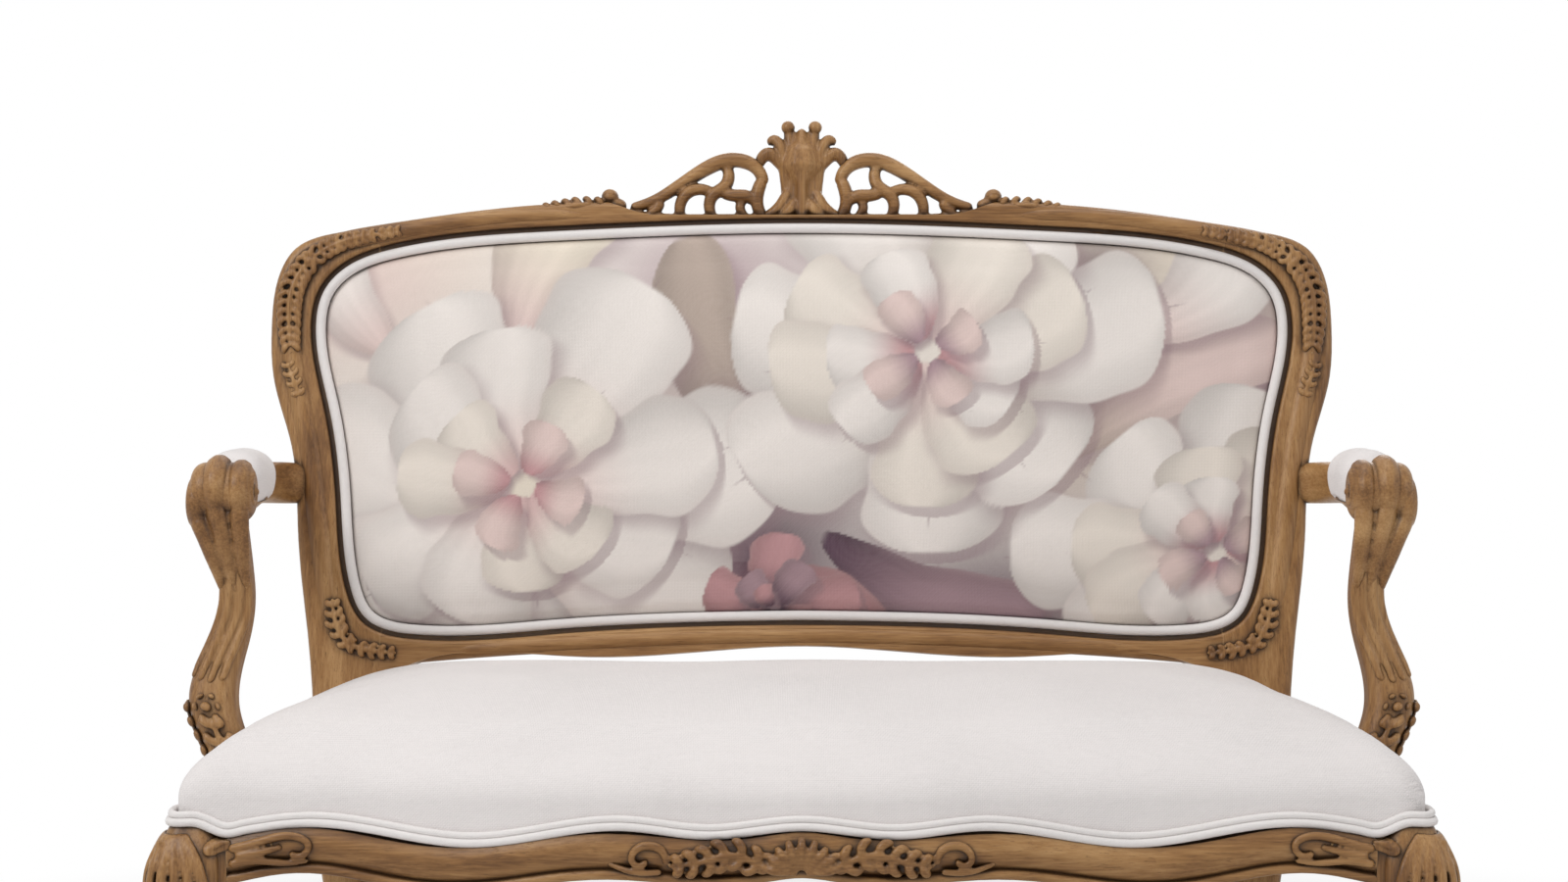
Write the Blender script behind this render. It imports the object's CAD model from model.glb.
import math
import bpy
import numpy as np
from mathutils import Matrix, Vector
from mathutils.bvhtree import BVHTree


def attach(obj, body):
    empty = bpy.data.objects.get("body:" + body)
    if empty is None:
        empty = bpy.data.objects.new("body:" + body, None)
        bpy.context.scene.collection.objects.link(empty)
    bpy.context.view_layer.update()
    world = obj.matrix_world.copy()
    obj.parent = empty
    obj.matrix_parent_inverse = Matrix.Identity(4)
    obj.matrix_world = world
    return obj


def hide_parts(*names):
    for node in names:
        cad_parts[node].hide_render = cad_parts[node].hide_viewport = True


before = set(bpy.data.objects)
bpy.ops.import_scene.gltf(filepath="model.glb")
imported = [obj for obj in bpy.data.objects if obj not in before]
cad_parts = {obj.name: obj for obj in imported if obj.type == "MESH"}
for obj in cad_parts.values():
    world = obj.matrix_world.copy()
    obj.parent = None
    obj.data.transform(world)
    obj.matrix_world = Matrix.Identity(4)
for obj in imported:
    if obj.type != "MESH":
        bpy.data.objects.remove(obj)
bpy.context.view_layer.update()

# Places that the pieces share, in metres, as the frame has them
FRONT_Y, SEAT_DEPTH = -0.2975, 0.540
FRONT_HALF, REAR_HALF, RAIL_END = 0.586, 0.540, 0.526
SHELF, RAIL_TOP, KNEE_TOP = 0.354, 0.385, 0.362
REAR_Y = FRONT_Y + SEAT_DEPTH
POST_Y = REAR_Y - 0.020
RAKE = math.radians(7)
FRAME_FRONT = 0.020
EAR_HALF, BACK_RISE, PANEL_BOTTOM, WAIST_V, EAR_V = 0.598, 0.594, 0.121, 0.318, 0.455
WAVE = [(0.0, 9), (0.162, 1), (0.306, 8), (0.57, -9), (0.852, 8), (1.0, -2)]


def front_face(x):
    """y of the front rail's show face."""
    return FRONT_Y - 0.030 * (0.5 + 0.5 * np.cos(np.pi * np.minimum(np.abs(x) / RAIL_END, 1)))


def side_face(y):
    """x of the right side rail's show face."""
    share = np.clip((y - FRONT_Y) / SEAT_DEPTH, 0, 1)
    return FRONT_HALF + (REAR_HALF - FRONT_HALF) * share + 0.006 * np.sin(np.pi * share)


def on_back(x, v, w):
    """A point of the raked back: x across, v up the rake, w forwards of the frame's middle."""
    return np.stack([x, POST_Y + v * math.sin(RAKE) - w * math.cos(RAKE),
                     RAIL_TOP + v * math.cos(RAKE) + w * math.sin(RAKE)], -1)


def smoothstep(low, high, value):
    share = np.clip((value - low) / (high - low), 0, 1)
    return share * share * (3 - 2 * share)


def distances(line):
    """How far along a line each of its points is."""
    return np.concatenate([[0], np.cumsum(np.linalg.norm(np.diff(line, axis=0), axis=1))])


def reading(share, row):
    """A value at a share of the way along a row of evenly spaced values."""
    return np.interp(share, np.linspace(0, 1, len(row)), row)


def fair_line(points, count, closed=False):
    """A smooth line through the points, as count places along it."""
    points = np.asarray(points, float)
    if closed:
        points = np.vstack([points[-3:], points, points[:4]])
    steps = np.linalg.norm(np.diff(points, axis=0), axis=1)
    at = np.concatenate([[0], np.cumsum(np.maximum(steps, 1e-9))])
    number = len(at)
    system, right = np.eye(number), np.zeros_like(points)
    for i in range(1, number - 1):
        before, after = at[i] - at[i - 1], at[i + 1] - at[i]
        system[i, i - 1:i + 2] = before, 2 * (before + after), after
        right[i] = 6 * ((points[i + 1] - points[i]) / after - (points[i] - points[i - 1]) / before)
    bend = np.linalg.solve(system, right)
    low, high = (at[3], at[-4]) if closed else (at[0], at[-1])
    place = np.linspace(low, high, count, endpoint=not closed)
    i = np.clip(np.searchsorted(at, place, side="right") - 1, 0, number - 2)
    span = (at[i + 1] - at[i])[:, None]
    b = (place - at[i])[:, None] / span
    a = 1 - b
    curve = (a ** 3 - a) * bend[i] + (b ** 3 - b) * bend[i + 1]
    return a * points[i] + b * points[i + 1] + curve * span ** 2 / 6


def shelf_level(x):
    """Height of the front rail's show-wood shelf."""
    half = [(share * RAIL_END, SHELF + rise / 1000) for share, rise in WAVE]
    line = fair_line([(-p, h) for p, h in reversed(half[1:])] + half, 400)
    return np.interp(x, line[:, 0], line[:, 1])


# Small steps of the modelling

def only(piece):
    """Makes a piece the one that operators act on."""
    bpy.ops.object.select_all(action="DESELECT")
    piece.select_set(True)
    bpy.context.view_layer.objects.active = piece


def apply_modifier(piece, kind, **settings):
    """Adds a modifier, sets it and applies it."""
    only(piece)
    step = piece.modifiers.new(kind.lower(), kind)
    for key, value in settings.items():
        setattr(step, key, value)
    bpy.ops.object.modifier_apply(modifier=step.name)


def tidy_normals(piece):
    """Merges doubles and turns every face outwards."""
    only(piece)
    bpy.ops.object.mode_set(mode="EDIT")
    bpy.ops.mesh.select_all(action="SELECT")
    bpy.ops.mesh.remove_doubles(threshold=1e-6)
    bpy.ops.mesh.normals_make_consistent(inside=False)
    bpy.ops.object.mode_set(mode="OBJECT")


def corners(piece):
    """The places of a mesh's points."""
    flat = np.empty(len(piece.data.vertices) * 3)
    piece.data.vertices.foreach_get("co", flat)
    return flat.reshape(-1, 3)


def move_corners(piece, places):
    piece.data.vertices.foreach_set("co", np.asarray(places, np.float32).ravel())
    piece.data.update()


def settle(piece, finish, slot, *nodes):
    """Gives a finished piece its material and its place in the frame."""
    piece.data.materials.clear()
    piece.data.materials.append(finish)
    piece.data.shade_smooth()
    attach(piece, "root")
    if nodes:
        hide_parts(*nodes)


def new_piece(name, data):
    """A new piece of the scene made of a mesh or a curve."""
    piece = bpy.data.objects.new(name, data)
    bpy.context.scene.collection.objects.link(piece)
    return piece


def node_copy(node, name):
    """A merged copy of a frame node, as the start of a piece that replaces it."""
    piece = new_piece(name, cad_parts[node].data.copy())
    tidy_normals(piece)
    return piece


def mirrored(piece, name):
    """The same piece on the other side of the settee."""
    only(piece)
    bpy.ops.object.duplicate()
    twin = bpy.context.object
    twin.name = name
    twin.data.name = name
    places = corners(twin)
    places[:, 0] *= -1
    move_corners(twin, places)
    twin.data.flip_normals()
    return twin


def round_bars(name, runs, resolution=3, closed=False):
    """Round bars as one mesh. A run is the places along a bar and the radius at each of them."""
    curve = bpy.data.curves.new(name, "CURVE")
    curve.dimensions = "3D"
    curve.bevel_depth = 1.0
    curve.bevel_resolution = resolution
    curve.use_fill_caps = not closed
    for line, radii in runs:
        spline = curve.splines.new("POLY")
        spline.points.add(len(line) - 1)
        spline.points.foreach_set("co", np.column_stack([line, np.ones(len(line))]).ravel())
        spline.points.foreach_set("radius", radii)
        spline.use_cyclic_u = closed
    only(new_piece(name, curve))
    bpy.ops.object.convert(target="MESH")
    return bpy.context.object


def rounded_run(points, radii):
    """A fair line through a stroke's points, with radii that taper along it and close round at its ends."""
    points = np.asarray(points, float)
    count = max(24, 7 * len(points))
    line = fair_line(points, count) if len(points) > 2 else np.linspace(points[0], points[-1], count)
    run = distances(line)
    widths = reading(run / run[-1], radii)
    inwards = np.minimum(run, run[-1] - run)
    widths *= np.sqrt(np.clip(1 - (1 - np.minimum(inwards / widths, 1)) ** 2, 0.02, 1))
    return line, widths


def strokes_mesh(name, strokes, resolution=3):
    """Round tapering strokes as one mesh. A stroke is its points and the radii along it."""
    return round_bars(name, [rounded_run(points, radii) for points, radii in strokes], resolution)


def cord_along(name, points, radius, closed=False):
    """A sewn cord that follows a smooth line."""
    return round_bars(name, [(points, np.full(len(points), radius))], closed=closed)


# Finishes

class Field:
    """A socket of a finish, with arithmetic that adds the nodes it needs."""

    def __init__(self, finish, socket):
        self.finish = finish
        self.socket = socket

    def math(self, operation, *values):
        return self.finish.node("ShaderNodeMath", {"operation": operation}, dict(enumerate(values)))

    def __add__(self, other):
        return self.math("ADD", self, other)

    def __sub__(self, other):
        return self.math("SUBTRACT", self, other)

    def __rsub__(self, other):
        return self.math("SUBTRACT", other, self)

    def __mul__(self, other):
        return self.math("MULTIPLY", self, other)

    def __pow__(self, other):
        return self.math("POWER", self, other)

    def sine(self):
        return self.math("SINE", self)

    def between(self, low, high):
        """0 below low, 1 above high, smooth in between."""
        return self.finish.node("ShaderNodeMapRange", {"interpolation_type": "SMOOTHSTEP"},
                                {"Value": self, "From Min": low, "From Max": high})


class Finish:
    """A material built up from nodes."""

    def __init__(self, name):
        self.material = bpy.data.materials.new(name)
        self.material.use_nodes = True
        self.tree = self.material.node_tree
        self.shader = self.tree.nodes["Principled BSDF"]

    def node(self, kind, settings, sockets, out=0):
        made = self.tree.nodes.new(kind)
        for key, value in settings.items():
            if key == "stops":
                ramp = made.color_ramp
                while len(ramp.elements) < len(value):
                    ramp.elements.new(0.5)
                for element, (place, colour) in zip(ramp.elements, value):
                    element.position = place
                    element.color = (*colour, 1)
            else:
                setattr(made, key, value)
        for key, value in sockets.items():
            self.plug(made.inputs[key], value)
        return Field(self, made.outputs[out])

    def plug(self, socket, value):
        if isinstance(value, Field):
            self.tree.links.new(value.socket, socket)
        elif socket.type == "RGBA" and len(value) == 3:
            socket.default_value = (*value, 1)
        else:
            socket.default_value = value

    def set(self, **values):
        for key, value in values.items():
            self.plug(self.shader.inputs[key.replace("_", " ")], value)

    def place(self, scale=(1, 1, 1)):
        here = self.node("ShaderNodeTexCoord", {}, {}, out="Object")
        return self.node("ShaderNodeMapping", {}, {"Vector": here, "Scale": scale})

    def noise(self, at, scale, detail, roughness=0.55):
        return self.node("ShaderNodeTexNoise", {}, {"Vector": at, "Scale": scale, "Detail": detail,
                                                    "Roughness": roughness})

    def parts(self, vector):
        split = self.tree.nodes.new("ShaderNodeSeparateXYZ")
        self.plug(split.inputs[0], vector)
        return [Field(self, socket) for socket in split.outputs]

    def mix(self, first, second, share):
        return self.node("ShaderNodeMix", {"data_type": "RGBA"}, {0: share, 6: first, 7: second}, out=2)

    def bump(self, height, distance, strength):
        return self.node("ShaderNodeBump", {}, {"Height": height, "Distance": distance, "Strength": strength})


GRAIN = {"x": (0.05, 1, 1), "y": (1, 0.05, 1), "z": (1, 1, 0.05)}


def waxed_wood(name, along):
    """Golden brown hardwood, waxed, with dark glaze left in the hollows and worn edges."""
    wood = Finish(name)
    here = wood.place()
    grain = wood.place(GRAIN[along])
    figure = wood.noise(grain, 34, 4, 0.6)
    fibres = wood.noise(grain, 420, 3, 0.65)
    clouds = wood.noise(here, 6, 3)
    pores = wood.noise(wood.place(tuple(0.6 * s if s < 1 else s for s in GRAIN[along])), 900, 2, 0.7)
    tone = figure * 0.55 + fibres * 0.3 + clouds * 0.25
    colour = wood.node("ShaderNodeValToRGB", {"stops": [
        (0.35, (0.074, 0.029, 0.0075)), (0.47, (0.193, 0.087, 0.0255)), (0.56, (0.303, 0.152, 0.051)),
        (0.70, (0.450, 0.258, 0.106))]}, {"Fac": tone})
    pore = pores.between(0.58, 0.70) * 0.5
    colour = wood.mix(colour, (0.085, 0.036, 0.012), pore)
    near = wood.node("ShaderNodeAmbientOcclusion", {"samples": 8}, {"Distance": 0.009}, out="AO")
    wide = wood.node("ShaderNodeAmbientOcclusion", {"samples": 8, "only_local": True}, {"Distance": 0.040},
                     out="AO")
    glaze = (1 - near.between(0.52, 0.96)) * 1.05 + (1 - wide.between(0.30, 0.90)) * 0.50
    dabs = wood.noise(here, 55, 3).between(0.30, 0.72)
    glaze = wood.node("ShaderNodeClamp", {}, {"Value": glaze * (dabs * 0.35 + 0.75), "Max": 0.86})
    colour = wood.mix(colour, (0.022, 0.0085, 0.0032), glaze)
    edge = wood.node("ShaderNodeAmbientOcclusion", {"samples": 8, "inside": True, "only_local": True},
                     {"Distance": 0.003}, out="AO")
    worn = (1 - edge.between(0.35, 0.80)) * wood.noise(here, 38, 4).between(0.35, 0.65) * 0.5
    colour = wood.mix(colour, (0.55, 0.34, 0.16), worn)
    wood.set(Base_Color=colour, Roughness=figure * 0.16 + pore * 0.35 + 0.34, Coat_Weight=0.06,
             Coat_Roughness=0.3, Specular_IOR_Level=0.35)
    wood.set(Normal=wood.bump(fibres * 0.5 + figure * 0.3 - pore * 0.9, 0.0004, 0.55))
    return wood.material


def raw_wood(name, along):
    """Sawn frame timber, bare."""
    wood = Finish(name)
    grain = wood.place(GRAIN[along])
    figure = wood.noise(grain, 40, 4, 0.6)
    fibres = wood.noise(grain, 500, 3)
    colour = wood.node("ShaderNodeValToRGB", {"stops": [
        (0.3, (0.36, 0.24, 0.13)), (0.55, (0.52, 0.38, 0.23)), (0.75, (0.62, 0.48, 0.31))]},
        {"Fac": figure * 0.6 + fibres * 0.4})
    wood.set(Base_Color=colour, Roughness=0.78, Normal=wood.bump(fibres, 0.0005, 0.6))
    return wood.material


def weave(cloth, pitch):
    """Height of a plain weave that follows the surface, from whichever sides it faces."""
    here = cloth.node("ShaderNodeTexCoord", {}, {}, out="Object")
    facing = cloth.node("ShaderNodeTexCoord", {}, {}, out="Normal")
    wander = cloth.noise(here, 140, 2) * 0.9
    threads = [p * (2 * math.pi / pitch) + wander for p in cloth.parts(here)]
    across = [t.sine() for t in threads]
    half = [(t * 0.5).sine() for t in threads]
    weights = [n * n for n in cloth.parts(facing)]
    total = None
    for face, (u, v) in ((2, (0, 1)), (1, (0, 2)), (0, (1, 2))):
        over = (half[u] * half[v]).between(-0.25, 0.25)
        height = (across[u] * over + across[v] * (1 - over)) * weights[face]
        total = height if total is None else total + height
    return total * 0.5 + 0.5


THREAD_PITCH, THREAD_DEPTH = 0.0016, 0.00022


def plain_cloth(name, colour, pitch=THREAD_PITCH, depth=THREAD_DEPTH, sheen=0.25):
    """Matt woven cloth with uneven threads."""
    cloth = Finish(name)
    here = cloth.place()
    threads = weave(cloth, pitch)
    slubs = (cloth.noise(cloth.place((1, 8, 8)), 60, 3) * 0.5
             + cloth.noise(cloth.place((8, 1, 8)), 60, 3) * 0.5)
    clouds = cloth.noise(here, 5, 2)
    dark = tuple(0.80 * c for c in colour)
    tone = cloth.mix(dark, colour, (threads * 0.30 + slubs * 0.5 + clouds * 0.45).between(0.15, 0.85))
    cloth.set(Base_Color=tone, Roughness=0.88, Sheen_Weight=sheen, Sheen_Roughness=0.5,
              Specular_IOR_Level=0.25)
    cloth.set(Normal=cloth.bump(threads + slubs * 0.8, depth, 0.8))
    return cloth.material


def printed_cloth(name):
    """The same cloth with the print that the piece carries as a colour at each point."""
    cloth = Finish(name)
    threads = weave(cloth, THREAD_PITCH)
    ink = cloth.node("ShaderNodeAttribute", {"attribute_name": "print"}, {}, out="Color")
    tone = cloth.mix(ink, (0.62, 0.50, 0.48), (1 - threads) * 0.10)
    cloth.set(Base_Color=tone, Roughness=0.86, Sheen_Weight=0.2, Sheen_Roughness=0.5, Specular_IOR_Level=0.25)
    cloth.set(Normal=cloth.bump(threads, THREAD_DEPTH, 0.7))
    return cloth.material


def metal(name, colour, rough):
    """Plated or bright metal with fine marks from handling."""
    plate = Finish(name)
    marks = plate.noise(plate.place((1, 1, 6)), 300, 3)
    patches = plate.noise(plate.place(), 40, 3).between(0.3, 0.6)
    tone = plate.mix(tuple(0.6 * c for c in colour), colour, patches)
    plate.set(Base_Color=tone, Metallic=1.0, Roughness=marks * 0.2 + rough)
    return plate.material


wood_x, wood_y, wood_z = (waxed_wood("waxed_wood_" + axis, axis) for axis in "xyz")
white_cloth = plain_cloth("white_cloth", (0.83, 0.785, 0.77))
welt_cloth = plain_cloth("welt_cloth", (0.85, 0.81, 0.79), pitch=0.0012)
lining_cloth = plain_cloth("lining_cloth", (0.74, 0.70, 0.65), pitch=0.0022)
dust_cloth = plain_cloth("dust_cloth", (0.030, 0.029, 0.030), pitch=0.0014, sheen=0.1)
jute = plain_cloth("jute", (0.42, 0.30, 0.17), pitch=0.0028, depth=0.0006, sheen=0.1)
stuffing = plain_cloth("stuffing", (0.80, 0.74, 0.60), pitch=0.004, sheen=0.2)
printed = printed_cloth("printed_cloth")
bare_wood_x, bare_wood_z = raw_wood("bare_wood_x", "x"), raw_wood("bare_wood_z", "z")
spring_wire = metal("spring_wire", (0.46, 0.30, 0.20), 0.35)
zinc = metal("zinc", (0.62, 0.61, 0.58), 0.32)
nickel = metal("nickel", (0.56, 0.55, 0.52), 0.28)

node_finish = {
    wood_x: ["front_rail", "rear_rail", "back_top_rail", "back_bottom_rail", "crest_wing_left",
             "crest_wing_right"],
    wood_y: ["side_rail_left", "side_rail_right", "arm_left", "arm_right"],
    wood_z: ["front_leg_left", "front_leg_right", "rear_post_left", "rear_post_right", "arm_post_left",
             "arm_post_right", "crest_cartouche"],
    bare_wood_x: ["corner_block_front_left", "corner_block_front_right", "corner_block_rear_left",
                  "corner_block_rear_right"],
    bare_wood_z: ["arm_dowels", "crest_dowels"],
    jute: ["webbing_long", "webbing_cross", "back_webbing", "spring_hessian"],
    stuffing: ["seat_filling", "back_filling"],
    spring_wire: ["seat_springs"],
    zinc: ["corner_screws", "arm_post_screws"],
    nickel: ["leg_glides"],
}
for finish, names in node_finish.items():
    for name in names:
        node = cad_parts[name].data
        node.materials.clear()
        node.materials.append(finish)


# Upholstery
RING_PLACES = 1200
HEM_SHARE = 0.965
SWELL_FRAMES = 12


def crowned_sheet(name, ring, sides, cells, inner):
    """A sheet of cloth over a padded form. ring is its edge, sides the four places where its corners
    are, and inner(share, edge) gives the places at a share of the way out from the middle."""
    ring = np.asarray(ring, float)
    runs = []
    for begin, end in zip(sides, sides[1:] + [sides[0] + len(ring)]):
        run = ring[np.arange(begin, end + 1) % len(ring)]
        at = distances(run)
        runs.append((at / at[-1], run))
    wide, tall = cells
    s, t = np.meshgrid(np.linspace(-1, 1, wide + 1), np.linspace(-1, 1, tall + 1), indexing="ij")
    share = np.maximum(np.maximum(np.abs(s), np.abs(t)), 1e-9)
    ps, pt = s / share, t / share
    edge = np.zeros(s.shape + (2,))
    for chosen, place, (at, run) in (
        (pt <= -1 + 1e-9, (ps + 1) / 2, runs[0]), (ps >= 1 - 1e-9, (pt + 1) / 2, runs[1]),
        (pt >= 1 - 1e-9, (1 - ps) / 2, runs[2]), (ps <= -1 + 1e-9, (1 - pt) / 2, runs[3]),
    ):
        for axis in (0, 1):
            edge[..., axis][chosen] = np.interp(place[chosen], at, run[:, axis])
    places = inner(share, edge).reshape(-1, 3)
    index = np.arange((wide + 1) * (tall + 1)).reshape(wide + 1, tall + 1)
    faces = np.stack([index[:-1, :-1], index[1:, :-1], index[1:, 1:], index[:-1, 1:]], -1).reshape(-1, 4)
    mesh = bpy.data.meshes.new(name)
    mesh.from_pydata(places.tolist(), [], faces.tolist())
    piece = new_piece(name, mesh)
    hem = piece.vertex_groups.new(name="hem")
    hem.add(index[share > HEM_SHARE].tolist(), 1.0, "REPLACE")
    return piece


def puff(piece, pressure, reach, hem=None):
    """Swells a cloth form a little, as stuffing does, by no more than the reach at any point."""
    before = corners(piece)
    only(piece)
    cloth = piece.modifiers.new("cloth", "CLOTH")
    settings = cloth.settings
    settings.use_pressure = True
    settings.uniform_pressure_force = pressure
    settings.effector_weights.gravity = 0
    settings.tension_stiffness = settings.compression_stiffness = 15
    settings.bending_stiffness = 0.6
    cloth.collision_settings.use_collision = False
    if hem:
        settings.vertex_group_mass = hem
    scene = bpy.context.scene
    for step in range(1, SWELL_FRAMES + 1):
        scene.frame_set(step)
    bpy.ops.object.modifier_apply(modifier=cloth.name)
    scene.frame_set(1)
    swollen = corners(piece)
    move_corners(piece, before)
    outwards = np.empty(len(before) * 3)
    piece.data.vertex_normals.foreach_get("vector", outwards)
    outwards = outwards.reshape(-1, 3)
    gain = np.clip(((swollen - before) * outwards).sum(1), 0, reach)
    move_corners(piece, before + gain[:, None] * outwards)


SKIRT = 0.0088
SEAT_REAR = POST_Y + 0.0202


def both_ends(low, high):
    """The four corners of a form that is the same on both sides."""
    return [(-low[0], low[1]), low, high, (-high[0], high[1])]


def whole_ring(half):
    """A half outline and its reflection, from the middle of one side round to the same place."""
    return np.array(half + [(-x, y) for x, y in reversed(half[1:-1])])


def ring_from_corner(ring, marks):
    """The ring begun at the first mark, and the places of all the marks on it."""
    at = [int(np.argmin(np.linalg.norm(ring - np.array(p), axis=1))) for p in marks]
    return np.roll(ring, -at[0], axis=0), [int((c - at[0]) % len(ring)) for c in at]


def seat_outline():
    """Edge of the seat seen from above, and the places of its corners."""
    front = [(x, front_face(x) + SKIRT) for x in RAIL_END * np.array([0, 0.15, 0.3, 0.45, 0.6, 0.75, 0.9])]
    corner = [(FRONT_HALF - 0.045, FRONT_Y + SKIRT), (FRONT_HALF - SKIRT - 0.006, FRONT_Y + SKIRT + 0.006),
              (FRONT_HALF - SKIRT - 0.001, FRONT_Y + 0.045)]
    side_y = FRONT_Y + SEAT_DEPTH * np.array([0.22, 0.4, 0.58, 0.76, 0.91])
    side = [(side_face(y) - SKIRT, y) for y in side_y]
    rear = [(REAR_HALF - SKIRT - 0.024, SEAT_REAR - 0.012), (REAR_HALF - 0.1, SEAT_REAR),
            (0.66 * REAR_HALF, SEAT_REAR), (0.33 * REAR_HALF, SEAT_REAR), (0, SEAT_REAR)]
    ring = fair_line(whole_ring(front + corner + side + rear), RING_PLACES, closed=True)
    return ring_from_corner(ring, both_ends(corner[1], rear[0]))


def seat_form(share, edge):
    """Places of the seat cover: a skirt down to the show wood, and a dome above the rails."""
    skirt_share, flat_share, roll, crown = 0.90, 0.32, 0.235, 0.089
    middle = (front_face(0) + SKIRT + SEAT_REAR) / 2
    half_depth = (SEAT_REAR - front_face(0) - SKIRT) / 2
    turn = np.pi / 2 * np.clip((skirt_share - share) / (skirt_share - flat_share), 0, 1) ** 1.25
    inset = roll * (1 - np.cos(turn))
    level = RAIL_TOP + 0.001 + crown * np.sin(turn)
    inwards = np.minimum(share / flat_share, 1)
    x = edge[..., 0] * (1 - inset / (FRONT_HALF - SKIRT)) * inwards
    y = middle + (edge[..., 1] - middle) * (1 - inset / half_depth) * inwards
    drop = np.clip((share - skirt_share) / (1 - skirt_share), 0, 1)
    front = smoothstep(FRONT_Y + 0.050, FRONT_Y + 0.010, y)
    hem = SHELF + 0.0012 + front * (shelf_level(x) - SHELF)
    corner = (smoothstep(RAIL_END - 0.03, RAIL_END + 0.02, np.abs(x))
              * smoothstep(FRONT_Y + 0.09, FRONT_Y + 0.06, y))
    hem = hem + corner * (KNEE_TOP + 0.0012 - hem)
    z = np.where(share > skirt_share, RAIL_TOP + 0.001 + (hem - RAIL_TOP - 0.001) * drop, level)
    return np.stack([x, y, z], -1)


ring, sides = seat_outline()
seat = crowned_sheet("seat", ring, sides, (230, 150), seat_form)
puff(seat, 3.0, 0.006, hem="hem")
places = corners(seat)
x, y, z = places.T
# The cover is cut and turned in round the arm posts and the rear posts
ARM_POST_Y, ARM_POST_INNER = -0.1240, 0.5335
REAR_POST_INNER, REAR_POST_FRONT = 0.472, 0.1925
side = np.sign(x)
notch = smoothstep(0.0262, 0.0212, np.abs(y - ARM_POST_Y)) * smoothstep(0.52, 0.42, z)
x = side * np.minimum(np.abs(x), np.abs(x) + notch * np.minimum(0, ARM_POST_INNER - np.abs(x)))
deep_x, deep_y = np.abs(x) - REAR_POST_INNER, y - REAR_POST_FRONT
inside = np.minimum(deep_x, deep_y) > 0
x = np.where(inside & (deep_x < deep_y), side * REAR_POST_INNER, x)
y = np.where(inside & (deep_x >= deep_y), REAR_POST_FRONT, y)
# Light pulls in the cloth beside the hem, and a top that is not quite even
PULL, UNEVEN = 0.0007, 0.0012
edge_near = smoothstep(0.045, 0.0, z - RAIL_TOP) * smoothstep(SHELF + 0.004, SHELF + 0.02, z)
around = np.arctan2(y, x)
pull = PULL * edge_near * (np.sin(around * 83 + 2 * np.sin(around * 9)) + 0.6 * np.sin(around * 51 + 1))
broad = UNEVEN * smoothstep(RAIL_TOP, RAIL_TOP + 0.03, z) * np.sin(x * 21 + 1.3) * np.sin(y * 26 + x * 5)
move_corners(seat, np.stack([x * (1 + pull), y * (1 + pull), z + broad], -1))
apply_modifier(seat, "SOLIDIFY", thickness=0.0025, offset=-1)
settle(seat, white_cloth, "white_cloth", "seat_cover", "seat_filling")


def opening_half():
    """Right half of the panel's edge in the raked plane, from the middle of its foot to that of its head."""
    inner_ear, inner_top = EAR_HALF - 0.050, BACK_RISE - 0.024
    return [(0, PANEL_BOTTOM), (0.5 * inner_ear, PANEL_BOTTOM - 0.010),
            (inner_ear - 0.122, PANEL_BOTTOM - 0.016), (inner_ear - 0.062, PANEL_BOTTOM + 0.003),
            (inner_ear - 0.044, PANEL_BOTTOM + 0.040), (inner_ear - 0.032, PANEL_BOTTOM + 0.135),
            (inner_ear - 0.017, WAIST_V + 0.040), (inner_ear, EAR_V),
            (inner_ear - 0.008, inner_top - 0.078), (inner_ear - 0.032, inner_top - 0.051),
            (inner_ear - 0.088, inner_top - 0.029), (inner_ear - 0.270, inner_top - 0.009), (0, inner_top)]


def opening_ring(grow):
    """The panel's whole edge, moved outwards by the growth."""
    ring = whole_ring(opening_half())
    along = np.roll(ring, -1, axis=0) - np.roll(ring, 1, axis=0)
    along /= np.linalg.norm(along, axis=1, keepdims=True)
    return fair_line(ring + grow * np.stack([along[:, 1], -along[:, 0]], -1), RING_PLACES, closed=True)


PANEL_MIDDLE = (PANEL_BOTTOM + BACK_RISE - 0.024) / 2


def back_form(share, edge):
    """Places of the back pad: a rounded shoulder beside the welt and a broad crown."""
    sunk, shoulder_rise, crown_rise, shoulder_share = 0.0115, 0.0085, 0.0245, 0.93
    shoulder = 1 - np.clip((share - shoulder_share) / (1 - shoulder_share), 0, 1) ** 2.2
    crown = 1 - np.clip(share, 0, 1) ** 3
    w = FRAME_FRONT - sunk + shoulder_rise * shoulder + crown_rise * crown
    grow = share ** 0.97
    return on_back(edge[..., 0] * grow, PANEL_MIDDLE + (edge[..., 1] - PANEL_MIDDLE) * grow, w)


PANEL_CORNERS = both_ends(opening_half()[3], opening_half()[9])
ring, sides = ring_from_corner(opening_ring(-0.0105), PANEL_CORNERS)
back = crowned_sheet("back_pad", ring, sides, (400, 200), back_form)
puff(back, 2.5, 0.005, hem="hem")

IVORY, CREAM, BLUSH, ROSE, MAUVE, PLUM, TAUPE = np.array([
    (0.80, 0.745, 0.70), (0.75, 0.67, 0.56), (0.72, 0.565, 0.525), (0.50, 0.27, 0.28),
    (0.37, 0.245, 0.275), (0.085, 0.042, 0.070), (0.44, 0.355, 0.30)])


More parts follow.
